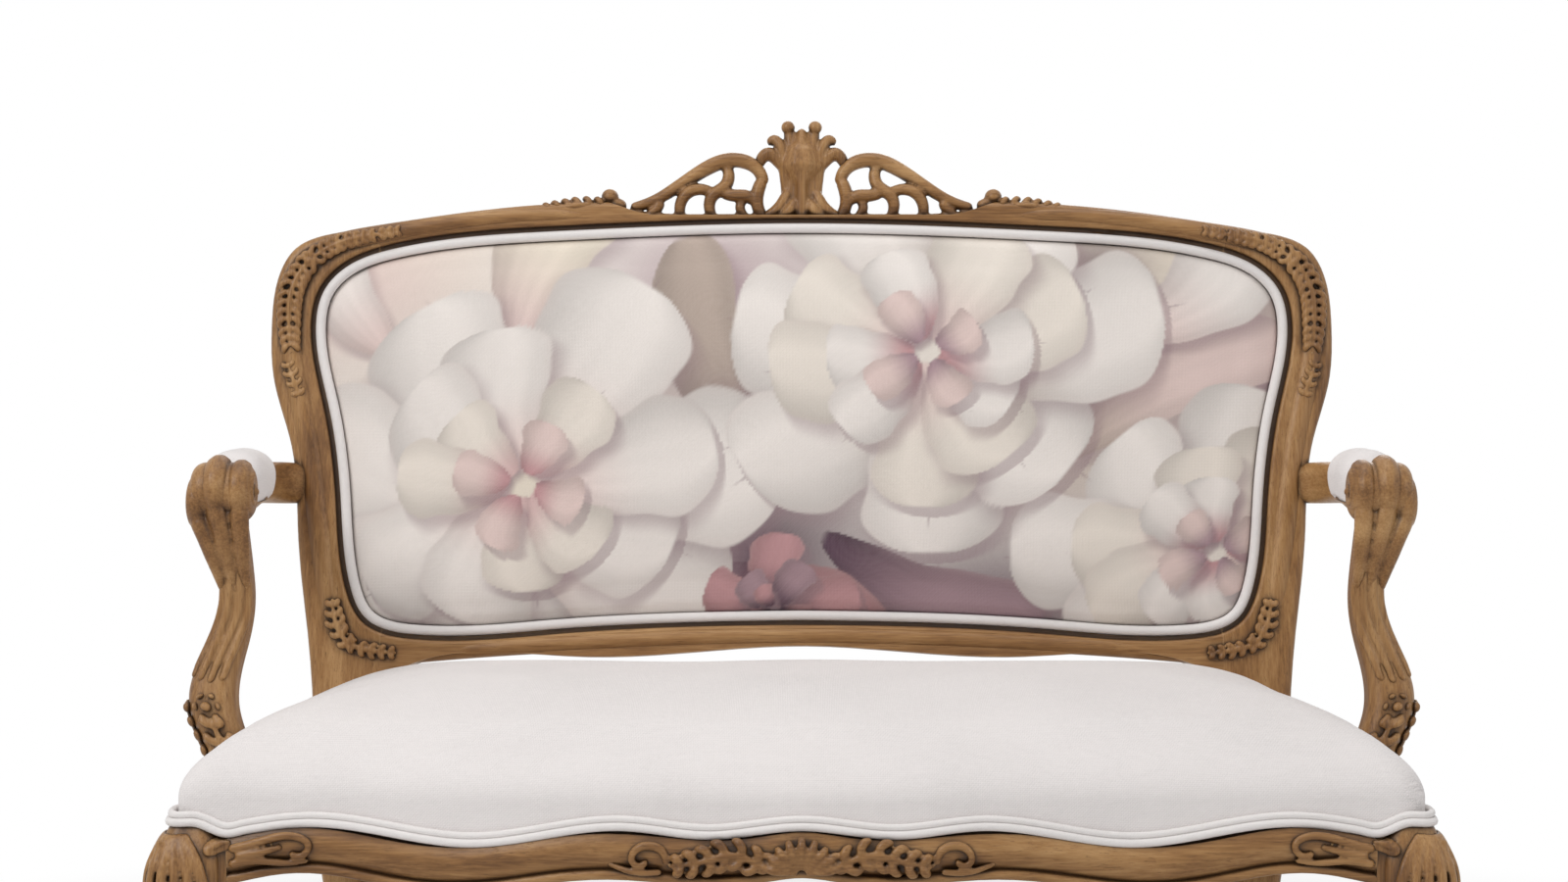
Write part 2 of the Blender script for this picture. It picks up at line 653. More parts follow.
def petal(canvas, at, root, tip, breadth, inner, outer, lean=0.0):
    """Paints one soft petal or leaf with its shadow on what lies under it."""
    axis = np.array(tip) - np.array(root)
    length = np.hypot(*axis)
    ahead = axis / length
    across = np.array([-ahead[1], ahead[0]])

    def petal_place(shift):
        away = at - np.array(root) - shift
        a = np.clip(away @ ahead / length, 1e-4, 1.12)
        bow = lean * breadth * np.sin(np.pi * np.clip(a, 0, 1))
        shape = np.clip(a, 0, 1) ** 0.55 * np.clip(1 - a ** 5, 1e-4, 1) ** 0.5
        wave = 1 + 0.05 * np.sin(9 * a + 40 * root[0]) + 0.03 * np.sin(21 * a + 17 * tip[1])
        return a, (away @ across - bow) / (0.5 * breadth * shape * wave)

    a, b = petal_place(np.array([0.007, -0.010]))
    shadow = smoothstep(1.30, 0.80, np.abs(b)) * smoothstep(1.10, 1.0, a) * smoothstep(0.0, 0.15, a)
    canvas += (0.62 * shadow)[:, None] * (0.55 * MAUVE + 0.22 * canvas - canvas)
    a, b = petal_place(np.zeros(2))
    mask = smoothstep(1.03, 0.97, np.abs(b)) * smoothstep(1.0, 0.975, a) * smoothstep(0.0, 0.04, a)
    body = inner + (outer - inner) * smoothstep(0.02, 0.62, a)[:, None]
    turn = (0.26 * smoothstep(0.1, 1.0, b) + 0.12 * smoothstep(0.3, 1.0, -b)
            - 0.05 * np.exp(-((b + 0.35) / 0.3) ** 2))
    veins = 0.045 * (0.5 + 0.5 * np.cos(17 * b + 5 * a + 30 * root[1])) * smoothstep(0.95, 0.2, a)
    rim = 0.10 * smoothstep(0.80, 1.0, np.abs(b)) * smoothstep(0.2, 0.6, a)
    body = body * (1 - turn - veins)[:, None] + rim[:, None] * (BLUSH - body)
    canvas += mask[:, None] * (body - canvas)


FULL_BLOOM = ((1.0, 7, 0.62), (0.74, 6, 0.60), (0.50, 5, 0.56), (0.30, 4, 0.5))


def bloom(canvas, at, middle, size, start, tints, rings=FULL_BLOOM):
    """Paints a full flower, ring by ring from the outside in."""
    for number, (reach, count, breadth) in enumerate(rings):
        inner, outer = tints[min(number, len(tints) - 1)]
        for k in range(count):
            angle = start + 2 * np.pi * (k + 0.37 * number) / count + 0.25 * np.sin(3.1 * k + number)
            way = np.array([np.cos(angle), 0.86 * np.sin(angle)])
            length = size * reach * (1 + 0.12 * np.sin(2.3 * k + 1.7 * number + start))
            petal(canvas, at, np.array(middle) + 0.05 * size * way, np.array(middle) + length * way,
                  1.35 * breadth * size * reach ** 0.8, inner, outer, 0.12 * np.sin(k + number))


def paint(places):
    """A print of large soft blooms in ivory, blush, mauve and plum, as a colour at each place."""
    at = np.column_stack([places[:, 0], (places[:, 2] - RAIL_TOP) / math.cos(RAKE)])
    x, v = at.T
    wash = 0.5 + 0.28 * np.sin(7 * x + 3 * v) + 0.22 * np.sin(11 * v - 5 * x + 1)
    canvas = CREAM + (IVORY - CREAM) * smoothstep(0.1, 0.8, wash)[:, None]
    for spot, size, tint, strength in (((0.30, 0.30), 0.13, TAUPE, 0.7), ((-0.05, 0.20), 0.13, PLUM, 0.95),
                                       ((0.52, 0.40), 0.10, MAUVE, 0.8), ((-0.50, 0.50), 0.12, BLUSH, 0.8),
                                       ((-0.10, 0.50), 0.12, MAUVE, 0.75), ((0.22, 0.13), 0.13, PLUM, 0.85),
                                       ((0.33, 0.52), 0.07, PLUM, 0.7), ((-0.53, 0.14), 0.10, MAUVE, 0.9)):
        blur = np.exp(-(((x - spot[0]) / size) ** 2 + ((v - spot[1]) / (0.7 * size)) ** 2))
        canvas += (strength * blur)[:, None] * (tint - canvas)
    for root, tip, breadth, inner, outer, lean in (
        ((-0.02, 0.26), (-0.13, 0.56), 0.13, PLUM, TAUPE, 0.2),
        ((0.02, 0.22), (0.27, 0.12), 0.12, PLUM, MAUVE, -0.2),
        ((0.28, 0.30), (0.56, 0.44), 0.12, TAUPE, BLUSH, 0.2),
        ((-0.10, 0.18), (0.10, 0.09), 0.10, PLUM, ROSE, 0.2),
        ((-0.46, 0.42), (-0.57, 0.58), 0.13, BLUSH, IVORY, 0.1),
        ((0.36, 0.44), (0.52, 0.60), 0.16, BLUSH, IVORY, -0.2),
        ((-0.32, 0.44), (-0.24, 0.62), 0.17, BLUSH, CREAM, 0.1),
        ((0.28, 0.26), (0.36, 0.09), 0.10, TAUPE, CREAM, 0.2),
    ):
        petal(canvas, at, root, tip, breadth, inner, outer, lean)
    pale = [(BLUSH, IVORY), (BLUSH, IVORY), (0.5 * (ROSE + BLUSH), 0.5 * (IVORY + CREAM)), (ROSE, BLUSH)]
    warm = [(TAUPE, IVORY), (BLUSH, 0.5 * (IVORY + CREAM)), (ROSE, IVORY), (MAUVE, BLUSH)]
    bloom(canvas, at, (0.46, 0.20), 0.21, 0.4, warm)
    bloom(canvas, at, (-0.31, 0.275), 0.27, 1.1, pale)
    bloom(canvas, at, (0.14, 0.425), 0.25, 2.0, warm)
    bloom(canvas, at, (-0.03, 0.135), 0.095, 0.2, [(PLUM, ROSE), (PLUM, MAUVE), (PLUM, ROSE)],
          ((1.0, 5, 0.62), (0.66, 4, 0.6), (0.4, 3, 0.5)))
    grain = 0.012 * np.sin(310 * x + 90 * np.sin(23 * v)) * np.sin(290 * v + 70 * np.sin(19 * x))
    return np.clip(canvas + grain[:, None], 0.02, 0.85)


colours = paint(corners(back))
layer = back.data.attributes.new("print", "FLOAT_COLOR", "POINT")
layer.data.foreach_set("color", np.column_stack([colours, np.ones(len(colours))]).astype(np.float32).ravel())
tidy_normals(back)
apply_modifier(back, "SOLIDIFY", thickness=0.0015, offset=-1)
settle(back, printed, "printed_cloth", "back_cover", "back_filling")


def wood_skin(node):
    """The surface of a frame node, for finding places on it."""
    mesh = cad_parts[node].data
    return BVHTree.FromPolygons([point.co for point in mesh.vertices],
                                [face.vertices for face in mesh.polygons])


def arm_cushion(name):
    """The cushion over the right arm: its cloth follows the sides of the wood and swells on top."""
    cells, reach, sink, over_wood, on_top = 64, 0.10, 0.0030, 0.0075, 0.0030
    skins = [wood_skin(node) for node in ("arm_right", "arm_pad_right")]

    def outermost(place, way):
        hits = [skin.ray_cast(Vector(place + reach * way), Vector(-way), 2 * reach)[3] for skin in skins]
        return reach - min([hit for hit in hits if hit is not None], default=reach - 0.017)

    room = corners(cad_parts["arm_pad_right"])
    front, rear = room[:, 1].min(), room[:, 1].max()
    stations = np.linspace(front, rear, 24)
    guess = (room.min(0) + room.max(0)) / 2
    middles = []
    for y in stations:
        place = np.array([guess[0], y, guess[2]])
        for axis in (2, 0, 2, 0):
            way = np.eye(3)[axis]
            place = place + way * (outermost(place, way) - outermost(place, -way)) / 2
        middles.append(place)
    middles = np.array(middles)
    share = np.linspace(0, 1, cells + 1)
    y = front + share * (rear - front)
    x, z = (np.polyval(np.polyfit(stations - front, middles[:, axis], 3), y - front) for axis in (0, 2))
    low, sweep = -38, 256
    angle = np.radians(low + sweep * share)
    radius = np.array([[outermost(np.array([x[i], y[i], z[i]]), np.array([np.cos(a), 0, np.sin(a)]))
                        for a in angle] for i in range(cells + 1)])
    for _ in range(30):
        for axis in (0, 1):
            radius = np.moveaxis(radius, axis, 0)
            radius[1:-1] = 0.25 * radius[:-2] + 0.5 * radius[1:-1] + 0.25 * radius[2:]
            radius = np.moveaxis(radius, 0, axis)
    end = np.minimum(share, 1 - share)[:, None]
    side = np.minimum(share, 1 - share)[None, :]
    dome = np.sqrt(np.clip(1 - (1 - np.clip(end / 0.14, 0, 1)) ** 2, 0, 1))
    radius = (radius - sink + over_wood * smoothstep(0, 0.06, end) * smoothstep(0, 0.06, side)
              + on_top * dome * smoothstep(-0.35, 0.85, np.sin(angle))[None, :])
    bpy.ops.mesh.primitive_grid_add(x_subdivisions=cells, y_subdivisions=cells, size=1)
    pad = bpy.context.object
    pad.name = name
    i, k = np.rint((corners(pad)[:, :2].T + 0.5) * cells).astype(int)
    move_corners(pad, np.stack([x[i] + radius[i, k] * np.cos(angle[k]), y[i],
                                z[i] + radius[i, k] * np.sin(angle[k])], -1))
    tidy_normals(pad)
    puff(pad, 3.0, 0.002)
    apply_modifier(pad, "SOLIDIFY", thickness=0.0015, offset=-1)
    return pad


cushion_right = arm_cushion("arm_cushion_right")
cushion_left = mirrored(cushion_right, "arm_cushion_left")
for hand, pad in (("right", cushion_right), ("left", cushion_left)):
    settle(pad, white_cloth, "white_cloth", "arm_pad_" + hand)

# Welts. Those of the seat stop at the arm posts and the rear posts
ARM_POST_FRONT, ARM_POST_REAR = FRONT_Y + 0.1525, FRONT_Y + 0.1935
ring = opening_ring(-0.0058)
places = on_back(ring[:, 0], ring[:, 1], np.full(len(ring), FRAME_FRONT - 0.0062))
back_cord = cord_along("back_cord", places, 0.0055, closed=True)
settle(back_cord, welt_cloth, "white_cloth", "back_welt")


def side_run(inset, lift, front, rear, count):
    """The welt's way along the right side rail."""
    return [(side_face(y) - inset, y, SHELF + lift) for y in np.linspace(front, rear, count)]


def welt_line(inset, lift):
    """The welt's way round the seat's front, from arm post to arm post."""
    x = np.linspace(0, RAIL_END, 40)
    level = shelf_level(x) + lift
    line = [(a, front_face(a) + inset, b) for a, b in zip(x, level)]
    knee = KNEE_TOP + lift
    turn = [(FRONT_HALF - 0.030, FRONT_Y + inset, knee), (FRONT_HALF - 0.014, FRONT_Y + inset, knee),
            (FRONT_HALF - inset - 0.003, FRONT_Y + inset + 0.004, knee),
            (FRONT_HALF - inset, FRONT_Y + 0.016, knee), (FRONT_HALF - inset, FRONT_Y + 0.050, knee)]
    half = line + turn + side_run(inset, lift, FRONT_Y + 0.085, ARM_POST_FRONT, 6)
    return fair_line([(-a, b, c) for a, b, c in reversed(half[1:])] + half, 700)


def joined(pieces, name):
    """Several pieces as one."""
    only(pieces[0])
    for piece in pieces:
        piece.select_set(True)
    bpy.ops.object.join()
    pieces[0].name = name
    return pieces[0]


runs = []
for inset, lift, radius in ((0.0042, 0.0046, 0.0040), (0.0062, 0.0112, 0.0034)):
    runs.append(cord_along("welt_run", welt_line(inset, lift), radius))
    rear_run = np.array(side_run(inset, lift, ARM_POST_REAR, POST_Y - 0.028, 40))
    for sign in (1, -1):
        runs.append(cord_along("welt_run", rear_run * np.array([sign, 1, 1]), radius))
seat_cord = joined(runs, "seat_cord")
settle(seat_cord, welt_cloth, "white_cloth", "seat_welt")

# Cloth behind the back and under the seat
ring, sides = ring_from_corner(opening_ring(0.0075), PANEL_CORNERS)
outer = crowned_sheet("outside_back", ring, sides, (120, 60), lambda share, edge: on_back(
    edge[..., 0] * share, PANEL_MIDDLE + (edge[..., 1] - PANEL_MIDDLE) * share,
    -FRAME_FRONT + 0.0008 - 0.003 * (1 - share ** 2)))
outer.data.flip_normals()
apply_modifier(outer, "SOLIDIFY", thickness=0.0012, offset=-1)
settle(outer, lining_cloth, "lining_cloth", "back_outer_cover")

ring, sides = seat_outline()
UNDER_Y, UNDER_Z, UNDER_SAG = -0.035, 0.3205, 0.012
UNDER_WIDE, UNDER_DEEP = 0.968, 0.935
under = crowned_sheet("under_cloth", ring, sides, (120, 60), lambda share, edge: np.stack([
    edge[..., 0] * share * UNDER_WIDE, UNDER_Y + (edge[..., 1] - UNDER_Y) * share * UNDER_DEEP,
    UNDER_Z - UNDER_SAG * (1 - share ** 2) ** 1.5], -1))
under.data.flip_normals()
apply_modifier(under, "SOLIDIFY", thickness=0.0008, offset=-1)
settle(under, dust_cloth, "dust_cloth", "dust_cover")

# Carving. Each board is drawn with rounded strokes in its own plane (u across, v up, w out of the wood),
# in millimetres, melted into one skin, and then laid on the wood that carries it.
MM = 1000
VOXEL, CREST_VOXEL, KNUCKLE_VOXEL = 0.0014, 0.0013, 0.0016


def stroke(line, height, radii):
    """One stroke from points in the plane, with its height out of the wood along the way."""
    line, height = np.asarray(line, float), np.atleast_1d(height)
    heights = reading(np.linspace(0, 1, len(line)), height)
    return np.column_stack([line, heights]) / MM, np.asarray(radii, float) / MM


def ball(u, v, w, radius):
    """A round bud or eye."""
    return stroke([(u - radius, v), (u, v), (u + radius, v)], w, [radius, radius, radius])


def volute(middle, reach, turns, start, hand, thick, height):
    """A scroll that winds in to an eye."""
    share = np.linspace(0, 1, int(10 * turns) + 4)
    angle = start + hand * 2 * np.pi * turns * share
    radius = reach * np.exp(-1.9 * share)
    line = np.column_stack([middle[0] + radius * np.cos(angle), middle[1] + radius * np.sin(angle)])
    return [stroke(line, [height, height + 0.25 * thick], [thick, 0.8 * thick, 0.6 * thick]),
            ball(*middle, height + 0.4 * thick, 1.15 * thick)]


def leaf(spine, reach, thick, height):
    """An acanthus leaf: a rib, and lobes that leave it on both sides and curl over at their ends."""
    line = fair_line(spine, 60) if len(spine) > 2 else np.linspace(spine[0], spine[-1], 60)
    along = np.gradient(line, axis=0)
    along /= np.linalg.norm(along, axis=1, keepdims=True)
    strokes = [stroke(line[::6], [0.7 * height, 1.2 * height, 0.7 * height],
                      [0.9 * thick, thick, 0.6 * thick])]
    spacing = 3.3 * thick
    lobes = max(2, round(np.linalg.norm(np.diff(line, axis=0), axis=1).sum() / spacing))
    for number in range(lobes):
        share = 0.03 + 0.90 * number / (lobes - 1)
        at = int(59 * share)
        length = reading(share, reach)
        for hand in (1, -1):
            out = hand * np.array([-along[at, 1], along[at, 0]])
            path = [line[at] + length * (a * out + b * along[at]) for a, b in (
                (0.0, -0.05), (0.38, 0.10), (0.74, 0.45), (0.72, 0.90))]
            strokes.append(stroke(path, [0.5 * height, 0.9 * height, 0.8 * height, 0.3 * height],
                                  [0.7 * thick, 1.1 * thick, 1.15 * thick, 0.7 * thick]))
    end, way = line[-1], along[-1]
    strokes.append(stroke([end - 0.2 * reach[-1] * way, end + 0.5 * reach[-1] * way], [height, 0.3 * height],
                          [0.7 * thick, 0.4 * thick]))
    return strokes


def shell(middle, reach, ribs, spread, thick, height, stretch):
    """A fan of rounded ribs that grow from a hinge to a scalloped rim."""
    strokes = []
    for angle in np.linspace(np.pi / 2 - spread, np.pi / 2 + spread, ribs):
        way = np.array([np.cos(angle) * stretch, np.sin(angle)])
        length = reach * (1 - 0.12 * abs(np.cos(angle)))
        path = [np.array(middle) + way * length * share for share in (0.12, 0.5, 0.85, 1.0)]
        strokes.append(stroke(path, [0.4 * height, 1.0 * height, 1.1 * height, 0.35 * height],
                              [0.35 * thick, 0.75 * thick, 1.05 * thick, 0.8 * thick]))
    return strokes


def both_sides(strokes):
    """The strokes and their reflection in the middle of the board."""
    return strokes + [(points * np.array([-1, 1, 1]), radii) for points, radii in strokes]


def carve(name, strokes, lay, voxel=VOXEL):
    """Melts strokes into one carved skin and lays it on the wood."""
    piece = strokes_mesh(name, strokes)
    apply_modifier(piece, "REMESH", mode="VOXEL", voxel_size=voxel)
    apply_modifier(piece, "SMOOTH", factor=0.5, iterations=3)
    move_corners(piece, lay(*corners(piece).T))
    piece.data.name = name
    return piece


def carved_pair(name, strokes, lay, finish, voxel=VOXEL, node=None):
    """Carving of the right side and its reflection on the left."""
    right = carve(name + "_right", strokes, lay, voxel)
    for hand, piece in (("right", right), ("left", mirrored(right, name + "_left"))):
        settle(piece, finish, "show_wood", *([node + "_" + hand] if node else []))


def on_front_rail(u, v, w):
    """On the front rail: v above the floor."""
    return np.stack([u, front_face(u) - w, v], -1)


def on_back_front(u, v, w):
    """On the front of the back's frame: v up the rake."""
    return on_back(u, v, FRAME_FRONT + w)


def round_wood(node, middle_x, middle_y, level, angle, w):
    """Places round an upright piece of wood, at a height w over its own surface."""
    skin, reach = wood_skin(node), 0.09
    way = np.stack([np.cos(angle), np.sin(angle), 0 * angle], -1)
    middle = np.stack([middle_x, middle_y, level], -1)
    radius = np.full(len(angle), 0.02)
    for k in range(len(angle)):
        hit = skin.ray_cast(Vector(middle[k] + reach * way[k]), Vector(-way[k]), reach)
        if hit[3] is not None:
            radius[k] = reach - hit[3]
    return middle + (radius + w)[:, None] * way


CREST_BASE = 0.589

# Crest: a shell between scrolls, with pierced wings of crossing tendrils
cartouche = [stroke([(0, -16), (0, 20), (0, 55), (0, 92)], [4, 9, 11, 4], [8, 6.4, 7.2, 5.4])]
cartouche += both_sides([
    stroke([(10, -14), (12, 18), (11, 50), (13, 76), (15, 92)], [0, 3, 3, 0], [7.4, 6.2, 6.8, 7.2, 6.4]),
    ball(15.5, 93, 4, 7.8),
    stroke([(18, 0), (18, 30), (20, 54), (25, 72), (31.5, 79), (38, 73)], [0, 2, 4, 2],
           [6.4, 5.8, 7.2, 8, 7.2, 5]),
    stroke([(20, 44), (30, 58), (39, 62), (46, 56), (50, 46)], [0, 5, 1], [5.6, 7.4, 8, 7, 5]),
    stroke([(14, 22), (21, 6), (31, -5), (43, -10)], [2, 6, 2], [6, 7.6, 7.2, 5.4]),
    stroke([(7, 10), (14, -4), (25, -12)], [4, 9, 3], [5, 6.6, 6]),
    stroke([(6, 60), (6, 74), (8, 88)], [6, 7, 2], [3.4, 4, 3.4]),
])
back_slab = [stroke([(0, -16), (0, 35), (0, 88)], -6, [24, 18, 18, 28, 24, 12])]
wing = [
    stroke([(28, -13), (100, -13), (170, -11), (226, -2)], 0, [7.4, 7, 6.8, 6]),
    stroke([(43, 26), (47, 40), (56, 49.5), (70, 54.5), (86, 54.5), (103, 48.5), (124, 36), (146, 21.5),
            (170, 8), (195, 0)], [2, 5, 3, 0], [6.6, 8.6, 9, 8, 6.8, 5.8]),
    stroke([(43, -13), (50, 2), (50, 18), (44, 34)], [0, 4, 3], [7, 7.4, 8, 7.2]),
    stroke([(101, -12), (105, 2), (101, 14), (88, 24), (83, 36), (86, 50)], [0, 5, 4, 2],
           [6, 6.8, 7.6, 7.8, 7.2, 6.4]),
    stroke([(138, -12), (138, 4), (128, 18), (112, 21), (96, 15)], [0, 5, 3], [6, 6.8, 7.2, 6.8, 5.8]),
    stroke([(52, 6), (62, 13), (76, 14), (92, 18)], [1, 6, 3], [6.4, 7.6, 7.4, 6.6]),
    stroke([(64, -11), (70, 0), (66, 12)], [0, 3, 2], [5.8, 5.8, 5.8]),
    stroke([(128, 18), (136, 22), (146, 16)], [3, 3, 0], [5.2, 5.6, 5]),
    stroke([(160, 10), (166, -2), (176, -8)], [2, 0], [6.4, 6.4]),
    ball(218, 12.5, 3, 9.8),
    stroke([(200, 0), (210, 4), (222, 2)], [0, 2, 0], [7, 8, 6]),
]
wing += leaf([(226, 0), (246, 1), (268, -1), (292, -4)], [10, 10, 9, 6], 3.6, 12)


def on_crest(u, v, w):
    """The crest stands on the top rail, carved on both its faces."""
    return on_back(u, CREST_BASE + v, w * 1.15 + 0.002)


crest = carve("crest_shell", cartouche + back_slab, on_crest, CREST_VOXEL)
settle(crest, wood_z, "show_wood", "crest_cartouche")
carved_pair("crest_tendrils", wing, on_crest, wood_x, CREST_VOXEL, "crest_wing")

# The pegs are cut short, so that they end in the crest's foot
pegs = node_copy("crest_dowels", "crest_pegs")
places = corners(pegs)
rise = (places[:, 2] - RAIL_TOP) * math.cos(RAKE) + (places[:, 1] - POST_Y) * math.sin(RAKE)
drop = np.maximum(rise - CREST_BASE - 0.002, 0)
move_corners(pegs, places - drop[:, None] * np.array([0, math.sin(RAKE), math.cos(RAKE)]))
settle(pegs, bare_wood_z, "frame_wood", "crest_dowels")

# Top rail, which runs thinner under the crest: a scoop is cut out of its upper edge
top_rail = node_copy("back_top_rail", "top_rail")
half_length, floor_v, rise, above, half_depth = 0.252, 0.5785, 0.0200, 0.63, 0.06
edge = [(x, floor_v + rise * float(smoothstep(0.165, 0.245, abs(x))))
        for x in np.linspace(-half_length, half_length, 61)]
low = [tuple(on_back(x, v, w)) for w in (half_depth, -half_depth) for x, v in edge]
high = [tuple(on_back(x, above, w)) for w in (half_depth, -half_depth) for x, _ in edge]
count = len(edge)
top = 2 * count
sides = [(k, count + k, top + count + k, top + k) for k in (0, count - 1)]
for a in range(count - 1):
    b, c, d = a + 1, count + a + 1, count + a
    sides += [(a, b, c, d), (top + d, top + c, top + b, top + a), (b, a, top + a, top + b),
              (d, c, top + c, top + d)]
scoop_mesh = bpy.data.meshes.new("scoop")
scoop_mesh.from_pydata(low + high, [], sides)
scoop = new_piece("scoop", scoop_mesh)
tidy_normals(scoop)
apply_modifier(top_rail, "BOOLEAN", operation="DIFFERENCE", object=scoop, solver="EXACT")
bpy.data.objects.remove(scoop)
settle(top_rail, wood_x, "show_wood", "back_top_rail")
top_rail.data.shade_flat()

# Back frame: a half-round moulding and sprays at the ears. Each line's points, half width and crown
stile = ([(524, 105), (529, 150), (536.5, 205), (543, 256), (552, 318), (567, 385), (575.5, 450), (571, 490),
          (560, 517)],
         [10, 15, 16, 16, 15, 15.5, 15, 15, 14], [-4, 3.5, 5, 5, 5, 5, 5, 5, 4])
head = ([(560, 517), (546, 533), (495, 552.5), (410, 567.5), (254, 578), (205, 574)],
        [14, 13, 10.5, 9.2, 8.4, 6], [4, 4.8, 4.5, 4.2, 3, -4])
foot = ([(-440, 83), (-400, 86.5), (-300, 93.5), (-150, 101), (0, 104), (150, 101), (300, 93.5),
         (400, 86.5), (440, 83)],
        [10, 10], [-4, 3.5, 4, 4, 4, 4, 4, 3.5, -4])


def half_round(points, half, proud):
    """A moulding that lies in the frame's front with only its rounded crown showing."""
    line = fair_line(np.array(points, float) / MM, 90)
    share = np.linspace(0, 1, 90)
    width, crown = (reading(share, np.array(row, float) / MM) for row in (half, proud))
    return np.column_stack([line, crown - width]), width


for name, runs, finish in (
    ("stile_moulding", both_sides([half_round(*stile)]), wood_z),
    ("rail_moulding", both_sides([half_round(*head)]) + [half_round(*foot)], wood_x),
):
    moulding = strokes_mesh(name, runs, 6)
    move_corners(moulding, on_back_front(*corners(moulding).T))
    settle(moulding, finish, "show_wood")

ear = leaf([(553, 528), (526, 543.5), (490, 553), (448, 560.5)], [13, 10, 7, 5], 3, 5)
ear += leaf([(553, 528), (571, 500), (576.5, 462), (573, 420)], [14, 16, 14, 9], 3.2, 5.2)
ear += volute((556, 524), 11, 1.2, 0.8, 1, 3.4, 5)
ear += leaf([(563, 372), (571, 393), (576.5, 408)], [8, 10, 7], 2.6, 4.6)
ear += leaf([(502, 94), (514, 112), (521, 142)], [10, 12, 7], 3.2, 4.2)
ear += leaf([(502, 94), (480, 88), (452, 85)], [8, 9, 6], 3, 3.6)
carved_pair("ear_spray", ear, on_back_front, wood_z)

# Front rail: a shell in the middle, sprays beside it, a scroll further out and a spray against each leg
RAIL_MIDDLE = np.array([0, 0.339, 0])
apron = shell((0, -14), 34, 9, 1.35, 4.2, 7, 1.15)
apron += [stroke([(0, -16), (0.1, -16)], 4, [6.6, 6.6])]
apron += both_sides(
    volute((34, -6), 12, 1.3, 2.6, -1, 3.8, 4)
    + leaf([(38, -4), (62, 4), (88, -1), (116, -6)], [14, 16, 14, 8], 4, 6.2)
    + [stroke([(122, -6), (126, 7), (138, 12), (151, 7), (153, -3), (145, -6), (140, -1)], [2, 4, 3],
              [3, 4, 4.2, 3.8, 3.2, 3.4]),
       stroke([(126, -12), (152, -12), (176, -5)], [1, 2, -2], [3, 3.4, 2.4]),
       stroke([(524, 4), (500, 10), (478, 16), (461, 16), (450, 8), (456, -1), (468, 1)], [2, 3, 4, 3],
              [4.2, 4.4, 4.2, 3.8, 3.4, 3.4]),
       stroke([(524, -10), (498, -6), (472, -8), (450, -6)], [2, 3, 0], [4.4, 4, 3.4, 2.2]),
       stroke([(518, -2), (494, 2), (474, 7)], [3, 4, 2], [3.8, 4, 3])])
apron = [(points + RAIL_MIDDLE, radii) for points, radii in apron]
rail_carving = carve("rail_carving", apron, on_front_rail)
settle(rail_carving, wood_x, "show_wood")

# Front legs: an acanthus over the knee and a scrolled toe
LEG_X, LEG_Y = FRONT_HALF - 0.030, FRONT_Y + 0.030
# Share of the knee's height, shift along the outward diagonal, width
leg_rows = np.array([
    (0.0030, -6, 38), (0.066, -9, 37), (0.133, -18, 30), (0.227, -21, 28), (0.359, -16, 32), (0.497, -6, 39),
    (0.635, 5, 48), (0.762, 12, 58), (0.867, 12, 66), (0.94, 7, 61), (1.0, 8, 40)])
leg_line = fair_line(leg_rows * np.array([1, 0.001, 0.001]), 200)


def on_leg(u, v, w):
    """Round the right front leg: u from its outward corner, v above the floor."""
    share = v / KNEE_TOP
    shift = np.interp(share, leg_line[:, 0], leg_line[:, 1])
    width = np.interp(share, leg_line[:, 0], leg_line[:, 2])
    angle = u / (0.55 * width) - math.pi / 4
    way = 0.5 ** 0.5
    return round_wood("front_leg_right", LEG_X + shift * way, LEG_Y - shift * way, v, angle, w)


knee = []
for k in range(-4, 5):
    knee.append(stroke([(3.5 * k, 357), (8.5 * k, 338), (11.8 * k, 312), (11.2 * k, 280),
                        (5.5 * k, 240 + 4 * abs(k))],
                       [1, 2.2, 2.2, 1.4, -0.5], [3.4, 4.4, 5, 4.6, 2.6]))
knee += both_sides(volute((46, 347), 12.5, 1.4, math.pi / 2, -1, 4, 2))
knee += leaf([(0, 52), (0, 36), (0, 20)], [10, 12, 9], 3.2, 2.8)
knee += both_sides(volute((17, 22), 9, 1.2, math.pi / 2, -1, 3.2, 1))
carved_pair("knee_leaf", knee, on_leg, wood_z)

# Arms: a grooved knuckle with a scroll at each end, and leaves on the post
# The knuckle is drawn in the frame itself, in metres from the handhold's middle
HANDHOLD = np.array([0.567, -0.1215, 0.663])
knuckle = []
for x, lift, reach, tube, foot in (
    (-0.0175, 0.001, 0.0205, 0.0112, -0.022), (0.0040, 0.003, 0.0220, 0.0125, -0.011),
    (0.0230, -0.010, 0.0175, 0.0108, 0.001),
):
    angle = np.linspace(0.9, 0.9 + 1.75 * math.pi, 16)
    turn = np.column_stack([np.full(16, x), reach * np.cos(angle), lift + reach * np.sin(angle)])
    knuckle.append((HANDHOLD + turn, tube * np.array([0.92, 1, 1, 0.95, 0.8])))
    front = [(x, -0.85 * reach, lift - 0.012), (0.5 * (x + foot), -0.0150, -0.050), (foot, 0.0040, -0.098)]
    knuckle.append((HANDHOLD + np.array(front), tube * np.array([0.95, 0.75, 0.35])))
for hand, drop in ((1, 0.008), (-1, 0)):
    for points, radii in volute((0, 0), 19, 1.6, math.pi / 2, hand, 4.2, 0):
        u, v, w = points.T
        knuckle.append((HANDHOLD + np.column_stack([hand * (0.0285 + w), hand * u, v - drop]), radii))
carved_pair("knuckle", knuckle, lambda x, y, z: np.stack([x, y, z], -1), wood_y, KNUCKLE_VOXEL)

